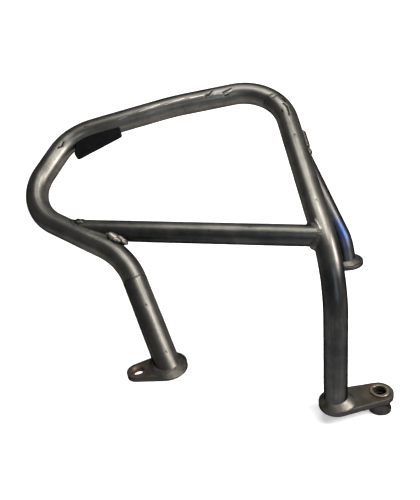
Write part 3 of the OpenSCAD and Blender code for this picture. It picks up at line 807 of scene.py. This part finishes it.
def weld_metal():
    """Weld beads: dull, with a painted highlight on the crests where the shine is high, sooty
    patches, and painted shade in the notch that crest marks."""
    g = Graph("weld_metal")
    place = g.place()
    painted_shine, crest = g.value("painted_shine"), g.value("crest")
    cloud = g.noise(place, 0.16, 4.0, 0.65)
    grain = g.noise(place, 1.6, 3.0, 0.6)
    colour = g.mix(g.step(cloud, 0.35, 0.65), WELD_DARK, WELD_PALE)
    # Painted highlight on the crests.
    lit = g.maths("MULTIPLY", painted_shine, g.step(g.maths("ADD", crest, cloud), 0.1, 0.9, 0.5, 1.0))
    colour = g.mix(lit, colour, WELD_HIGHLIGHT)
    soot_and_shade = g.step(g.noise(place, 0.4, 3.0, 0.6), 0.56, 0.68, 0.0, 0.6)
    # Painted shade in the notch that crest marks, on top of the sooty patches.
    soot_and_shade = g.maths("MAXIMUM", soot_and_shade, g.step(crest, -1.6, -0.8, 1.0, 0.0))
    colour = g.mix(soot_and_shade, colour, SOOT_AND_SHADE)
    rough = g.step(lit, 0, 1, 0.46, 0.52)
    normal = g.bump(grain, 0.07, 0.8)
    return g.finish(colour, rough, normal, 1.0, (0.2, 0.2, 0.2, 1))


def pad_rubber():
    """The pad: black moulded rubber with a soft sheen and pale rubbed edges."""
    g = Graph("black_pad_rubber")
    place = g.place()
    grain = g.noise(place, 2.2, 3.0, 0.6)
    cloud = g.noise(place, 0.12, 4.0, 0.6)
    edge = g.node("NewGeometry").outputs["Pointiness"]
    rubbed = g.maths("MULTIPLY", g.step(edge, 0.52, 0.60), g.step(cloud, 0.40, 0.60))
    colour = g.mix(g.step(cloud, 0.35, 0.65), PAD_DARK, PAD_PALE)
    colour = g.mix(rubbed, colour, PAD_RUBBED)
    normal = g.bump(grain, 0.03, 0.7)
    mat = g.finish(colour, g.step(cloud, 0.3, 0.7, 0.50, 0.62), normal, 0.0, (1, 1, 1, 1))
    g.shader.inputs["Specular IOR Level"].default_value = 0.06
    g.shader.inputs["IOR"].default_value = 1.3
    return mat


# The build

def main_pieces():
    hoop = Tube(
        "hoop_skin", [SEAM, *HOOP_CORNERS, REAR_FOOT], HOOP_RADII, TUBE_R,
        end_cut=onto_plane(REAR_TOP_Z), blend=40,
    )
    leg = Tube(
        "front_leg_skin", [SEAM, FRONT_FOOT], [0, 0], TUBE_R,
        end_cut=onto_plane(FRONT_TOP_Z), blend=40,
    )
    brace = Tube(
        "brace_skin", [BRACE_FRONT, BRACE_REAR], [0, 0], BRACE_R,
        start_cut=onto_tube(hoop, 1), end_cut=onto_tube(hoop, -1), blend=100,
    )
    stub = Tube(
        "stub_skin", [STUB_JOINT, STUB_KNEE, STUB_FOOT], [0, STUB_KNEE_R, 0], BRACE_R,
        start_cut=onto_tube(hoop, 1), end_cut=onto_plane(MIDDLE_TOP_Z), blend=90,
    )
    return hoop, leg, brace, stub


# Wear and painted highlights, as the photo shows them. A stroke runs from one pixel of the photo's
# frame to another, and has a half width. A wrinkle also says how dark it is. A pit has a pixel and a
# radius.

GOUGES = (
    ((212.4, 90.8), (207.4, 95.8), 1.08), ((206.2, 94.8), (205.2, 97.4), 0.96),
    ((231.5, 88), (223.4, 92.2), 0.96), ((228, 94), (224.5, 96), 0.84),
)
# The first row is a scrape. The lines along the top run are painted highlights on the upper edge of its
# reflection.
SCRAPES_AND_GLINTS = (
    ((231.5, 90.2), (226, 94), 0.56), ((190, 98), (204, 95.2), 0.56),
    ((214, 94.2), (222, 93.2), 0.56), ((118, 120), (127, 116.8), 0.56),
    ((140, 111), (160, 104.5), 0.49), ((165, 104.5), (184, 98.5), 0.49),
)
CRESCENT = (((63.4, 142.4), (61.7, 146.4), 1.05), ((61.7, 146.8), (57.9, 147.4), 1.05))
BEND_DENTS = (
    ((282.5, 97.5), (285.5, 101), 1.56), ((283, 103.5), (287.3, 106.5), 1.04),
    ((286.8, 106), (289, 114.5), 1.04), ((290.2, 106.5), (291.6, 110.5), 0.91),
    ((281.5, 110.5), (282.5, 112), 1.04),
)
WRINKLES = (
    ((272.5, 93.2), (266.5, 97.5), 1.1, 0.6), ((276.5, 94.6), (272.5, 98), 0.9, 0.5),
    ((266, 98.5), (264.6, 104.5), 2.0, 0.55), ((269.5, 100), (266.5, 106.5), 1.2, 0.6),
)
# The ragged toe is a raised line with a painted highlight along it.
RAGGED_TOE = (((315, 219.5), (320.2, 228.5), 1.0), ((320.2, 228.5), (318.3, 241), 1.0))
HOOP_PITS = (
    ((294.6, 134), 1.1), ((84.2, 127), 1.2), ((185, 110), 0.8), ((200, 107), 0.8), ((48, 180), 0.6),
    ((316, 200), 0.7), ((324, 262), 0.6),
)
LEG_PITS = (((145.3, 304.4), 1.1), ((150, 330), 0.6), ((166, 352), 0.7))
BRACE_PITS = (((207.7, 231.5), 1.2), ((250, 226), 0.7), ((165, 240), 0.6))
# Painted shade: how far up from its rear end the hoop is darkened and over what length that fades, and
# where the darkening of the top run's back starts up the hoop's plane and its fade.
DARK_LEG_L, DARK_LEG_FADE = 195, 70
TOP_RUN_UP, TOP_RUN_FADE = 225, 15


def strokes(tube, rows, **depth_and_tone):
    for start, end, wide in rows:
        tube.stroke(start, end, wide, **depth_and_tone)


def pits(tube, rows, deep, lip):
    for px, size in rows:
        tube.pit(px, size, deep, lip)


def wear_and_glints(hoop, leg, brace):
    """The gouges, scrapes and pits, and the painted highlights along the top run and the ragged toe."""
    strokes(hoop, GOUGES, deep=0.45, dark=1.0)
    strokes(hoop, SCRAPES_AND_GLINTS, deep=0.05, bright=0.55)
    strokes(hoop, CRESCENT, deep=0.5, dark=1.0)
    strokes(hoop, BEND_DENTS, deep=0.4, dark=1.0)
    for start, end, wide, dark in WRINKLES:
        hoop.stroke(start, end, wide, deep=0.5, dark=dark)
    strokes(hoop, RAGGED_TOE, deep=-0.3, bright=0.55)
    pits(hoop, HOOP_PITS, 0.35, 0.06)
    pits(leg, LEG_PITS, 0.3, 0.05)
    pits(brace, BRACE_PITS, 0.35, 0.05)


def painted_shade_stretches(hoop, leg, brace, stub):
    """Painted shade: the darker stretches on the hoop down to the rear foot, the back of its top run,
    the front leg's -x side, and the brace and the stub, less so where they face up."""
    to_end = hoop.along[-1] - hoop.along[:, None]
    hoop.scale += np.clip((DARK_LEG_L - to_end) / DARK_LEG_FADE, 0, 0.85)
    up = (hoop.mids[:, 2:] - HOOP_H) / math.sin(LEAN)
    top_run = np.clip((up - TOP_RUN_UP) / TOP_RUN_FADE, 0, 1)
    back = np.clip((hoop.out[..., 1] + 0.55) / 0.3, 0, 1)
    hoop.scale = np.maximum(hoop.scale, 0.6 * top_run * back)
    leg.scale = np.clip(-0.8 * leg.out[..., 0] - 0.1, 0, 0.6)
    brace.scale = np.clip(0.85 - 0.6 * brace.out[..., 2], 0.2, 0.92)
    stub.scale = np.clip(0.95 - 0.25 * stub.out[..., 2], 0, 0.92)


# Each blob on the brace's front bead has a pixel, a radius, a rise off the tube and a shine, the strength
# of its painted highlight.

CROTCH_BLOBS = (
    ((110, 236.5), 5.2, 1.6, 0.55), ((113, 238.5), 6.0, 2.2, 0.48), ((116.5, 241.5), 5.2, 1.6, 0.22),
    ((120, 241), 6.8, 3.4, 0.20), ((122.5, 243.5), 4.8, 3.0, 0.24), ((79.6, 223.6), 5.0, 2.0, 0.0),
    ((83.2, 223.8), 5.0, 2.2, 0.0),
)


def welds(hoop):
    """The beads, and the points that they heated."""
    made, hot = [], []

    def add(node, piece, roots=None):
        stand_in(piece, "weld_metal", node)
        made.append(piece)
        if roots is not None:
            hot.append(roots[::8])

    # Each bead's bright gives the strength of the painted highlight on its crests at each angle round it.
    add("brace_front_weld", *saddle(
        "brace_front_bead", hoop, BRACE_FRONT, BRACE_DIR, -FRONT_RUN_DIR, leg=2.6, swell=6.0,
        bright=lambda a: 0.3 * np.maximum(0, np.cos(a)) ** 4, spots=CROTCH_BLOBS))
    add("brace_rear_weld", *saddle(
        "brace_rear_bead", hoop, BRACE_REAR, -BRACE_DIR, REAR_SIDE_DIR, leg=2.6, swell=2.5,
        bright=lambda a: 0.05 + 0.04 * np.cos(a)))
    add("stub_scarf_weld", *saddle(
        "stub_scarf_bead", hoop, STUB_JOINT, STUB_TOP_DIR, REAR_SIDE_DIR, leg=2.2, swell=2.0,
        bright=lambda a: 0.06 + 0.04 * np.cos(a)))
    add("front_foot_weld", *fillet(
        "front_foot_bead", FRONT_FOOT, FRONT_LEG_DIR, TUBE_R, leg=5.0, swell=0.0,
        toward=np.array([0, -1.0, 0]), bright=lambda a: 0.04 + 0.05 * np.cos(a)))
    add("rear_foot_weld", *fillet(
        "rear_foot_bead", REAR_FOOT, REAR_LEG_DIR, TUBE_R, leg=5.0, swell=2.5,
        toward=REAR_BOLT_WAY, bright=lambda a: 0.08 + 0.12 * np.cos(a + 0.9)))
    add("stub_foot_weld_bead", *fillet(
        "stub_foot_bead", STUB_FOOT, STUB_END_DIR, BRACE_R, leg=3.5, swell=0.0,
        toward=REAR_BOLT_WAY, bright=lambda a: 0.1 + 0 * a))
    add("butt_weld_bead", collar("butt_bead", SEAM, FRONT_LEG_DIR, leg=2.0, rise=0.14, painted_shine=0.0))
    add("spacer_weld_bead", spacer_bead())
    add("stub_run_weld", run_of_weld())
    return made, np.vstack(hot)


STUB_BLUE = (342.5, 231)
BLUE_LONG, BLUE_WIDE = 15.0, 6.0
HEAT_REACH = 15.0


def build():
    hoop, leg, brace, stub = main_pieces()
    wear_and_glints(hoop, leg, brace)
    painted_shade_stretches(hoop, leg, brace, stub)
    beads, hot = welds(hoop)
    ds, da = stub.around(STUB_BLUE)
    stub.blue = bump(np.hypot(ds / BLUE_LONG, da / BLUE_WIDE))

    def heat(skin):
        flat = skin.reshape(-1, 3)
        near = np.full(len(flat), 1e9)
        for p in hot:
            near = np.minimum(near, ((flat - p) ** 2).sum(-1))
        return np.exp(-near / HEAT_REACH ** 2).reshape(skin.shape[:-1])

    def show(obj, slot, material, *nodes):
        stand_in(obj, slot, *nodes).data.materials.append(material)

    steel, metal, plate = tube_steel(), weld_metal(), plate_steel()
    for tube, node in ((hoop, "hoop_tube"), (leg, "front_leg_tube"), (brace, "cross_brace"),
                       (stub, "stub_tube")):
        show(tube.build(heat), "tube_steel", steel, node)
    for piece in beads:
        piece.data.materials.append(metal)
    for node in ("front_plate", "middle_plate", "rear_plate"):
        show(eased(node, width=0.5, segments=3), "plate_steel", plate, node)
    show(eased("rear_bush", width=0.25), "bush_steel", bush_steel(), "rear_bush")
    show(eased("rear_spacer", width=0.35), "spacer_steel", spacer_steel(), "rear_spacer")
    show(moulded_pad(), "pad_rubber", pad_rubber(), "impact_pad")


# The studio

STAGE_NEAR, STAGE_FAR = (0.45, 0.45, 0.45, 1), (0.82, 0.82, 0.82, 1)
STAGE_TURNS = (-450, -110)
GLOW_NEAR, GLOW_UNDER, GLOW_FAR = 0.35 / 3, 0.35, 1.0
GLOW_RISES = (250, 1100)


def stage_white():
    """The ground's white. It is greyer before the object, and it glows to the camera and in
    reflections: a little under the object, less before it and fully white far behind."""
    g = Graph("studio_white")
    g.shader.inputs["Roughness"].default_value = 0.9
    g.shader.inputs["Specular IOR Level"].default_value = 0.0
    path = g.node("LightPath")
    seen = g.maths("MAXIMUM", path.outputs["Is Camera Ray"], path.outputs["Is Glossy Ray"])
    seen = g.maths("MAXIMUM", seen, path.outputs["Is Transmission Ray"])
    g.shader.inputs["Emission Color"].default_value = (1, 1, 1, 1)
    y = g.part(g.place(), "Y")
    under = g.step(y, *STAGE_TURNS)
    g.put(g.shader.inputs["Base Color"], g.mix(under, STAGE_NEAR, STAGE_FAR))
    glow = g.step(under, 0, 1, GLOW_NEAR, GLOW_UNDER)
    glow = g.maths("ADD", g.step(y, *GLOW_RISES, 0.0, GLOW_FAR - GLOW_UNDER), glow)
    g.put(g.shader.inputs["Emission Strength"], g.maths("MULTIPLY", seen, glow))
    return g.mat


def studio():
    """A floor that curves up into a backdrop behind the object."""
    x, y = -180.0, 60.0
    wide, front, back, high, bend, steps = 2500.0, -1500.0, 1500.0, 2500.0, 500.0, 12
    profile = [(front, 0.0), (back - bend, 0.0)]
    for t in np.linspace(0, math.pi / 2, steps + 1)[1:]:
        profile.append((back - bend + bend * math.sin(t), bend - bend * math.cos(t)))
    profile.append((back, high))
    verts = [(x + side * wide, y + across, up) for across, up in profile for side in (-1, 1)]
    faces = [(2 * i, 2 * i + 1, 2 * i + 3, 2 * i + 2) for i in range(len(profile) - 1)]
    floor = new_object("studio_floor", verts, faces)
    floor.data.materials.append(stage_white())


# Each lamp has a name, a place, the point that it faces, its sides, its watts and its colour.

MIDDLE = (-180, 80, 190)
FRONT_BEND = (-300, 140, 280)
LAMPS = (
    ("overhead", (-130, 20, 1000), MIDDLE, (480, 400), 5.0, (1.0, 0.98, 0.94)),
    ("high_right", (200, -130, 910), MIDDLE, (380, 380), 6.5, (1.0, 0.97, 0.92)),
    ("right", (650, -290, 660), FRONT_BEND, (340, 400), 18.0, (1.0, 0.93, 0.90)),
    ("front", (120, -900, 520), MIDDLE, (160, 420), 2.5, (0.72, 0.85, 1.0)),
)
WORLD_COLOUR = (0.93, 0.96, 1.0, 1)
WORLD_LIGHT, WORLD_SEEN = 0.12, 0.32


def lamp(name, at, target, size, watts, colour):
    data = bpy.data.lights.new(name, "AREA")
    data.shape = "RECTANGLE"
    data.size, data.size_y = size[0] * MM, size[1] * MM
    data.energy = watts
    data.color = colour
    obj = bpy.data.objects.new(name, data)
    bpy.context.scene.collection.objects.link(obj)
    obj.location = Vector(at) * MM
    obj.rotation_euler = (Vector(target) - Vector(at)).to_track_quat("-Z", "Y").to_euler()


def world():
    """Dim light all round, which the camera and reflections see brighter."""
    made = bpy.data.worlds.new("studio")
    bpy.context.scene.world = made
    made.use_nodes = True
    tree = made.node_tree
    back = tree.nodes["Background"]
    back.inputs["Color"].default_value = WORLD_COLOUR
    path = tree.nodes.new("ShaderNodeLightPath")
    seen = path.outputs["Is Camera Ray"]
    for ray in ("Is Glossy Ray", "Is Transmission Ray"):
        either = tree.nodes.new("ShaderNodeMath")
        either.operation = "MAXIMUM"
        tree.links.new(seen, either.inputs[0])
        tree.links.new(path.outputs[ray], either.inputs[1])
        seen = either.outputs[0]
    level = tree.nodes.new("ShaderNodeMapRange")
    level.inputs["To Min"].default_value = WORLD_LIGHT
    level.inputs["To Max"].default_value = WORLD_SEEN
    tree.links.new(seen, level.inputs["Value"])
    tree.links.new(level.outputs[0], back.inputs["Strength"])


make_camera()
build()
studio()
for values in LAMPS:
    lamp(*values)
world()
bpy.context.scene.view_settings.view_transform = "Standard"
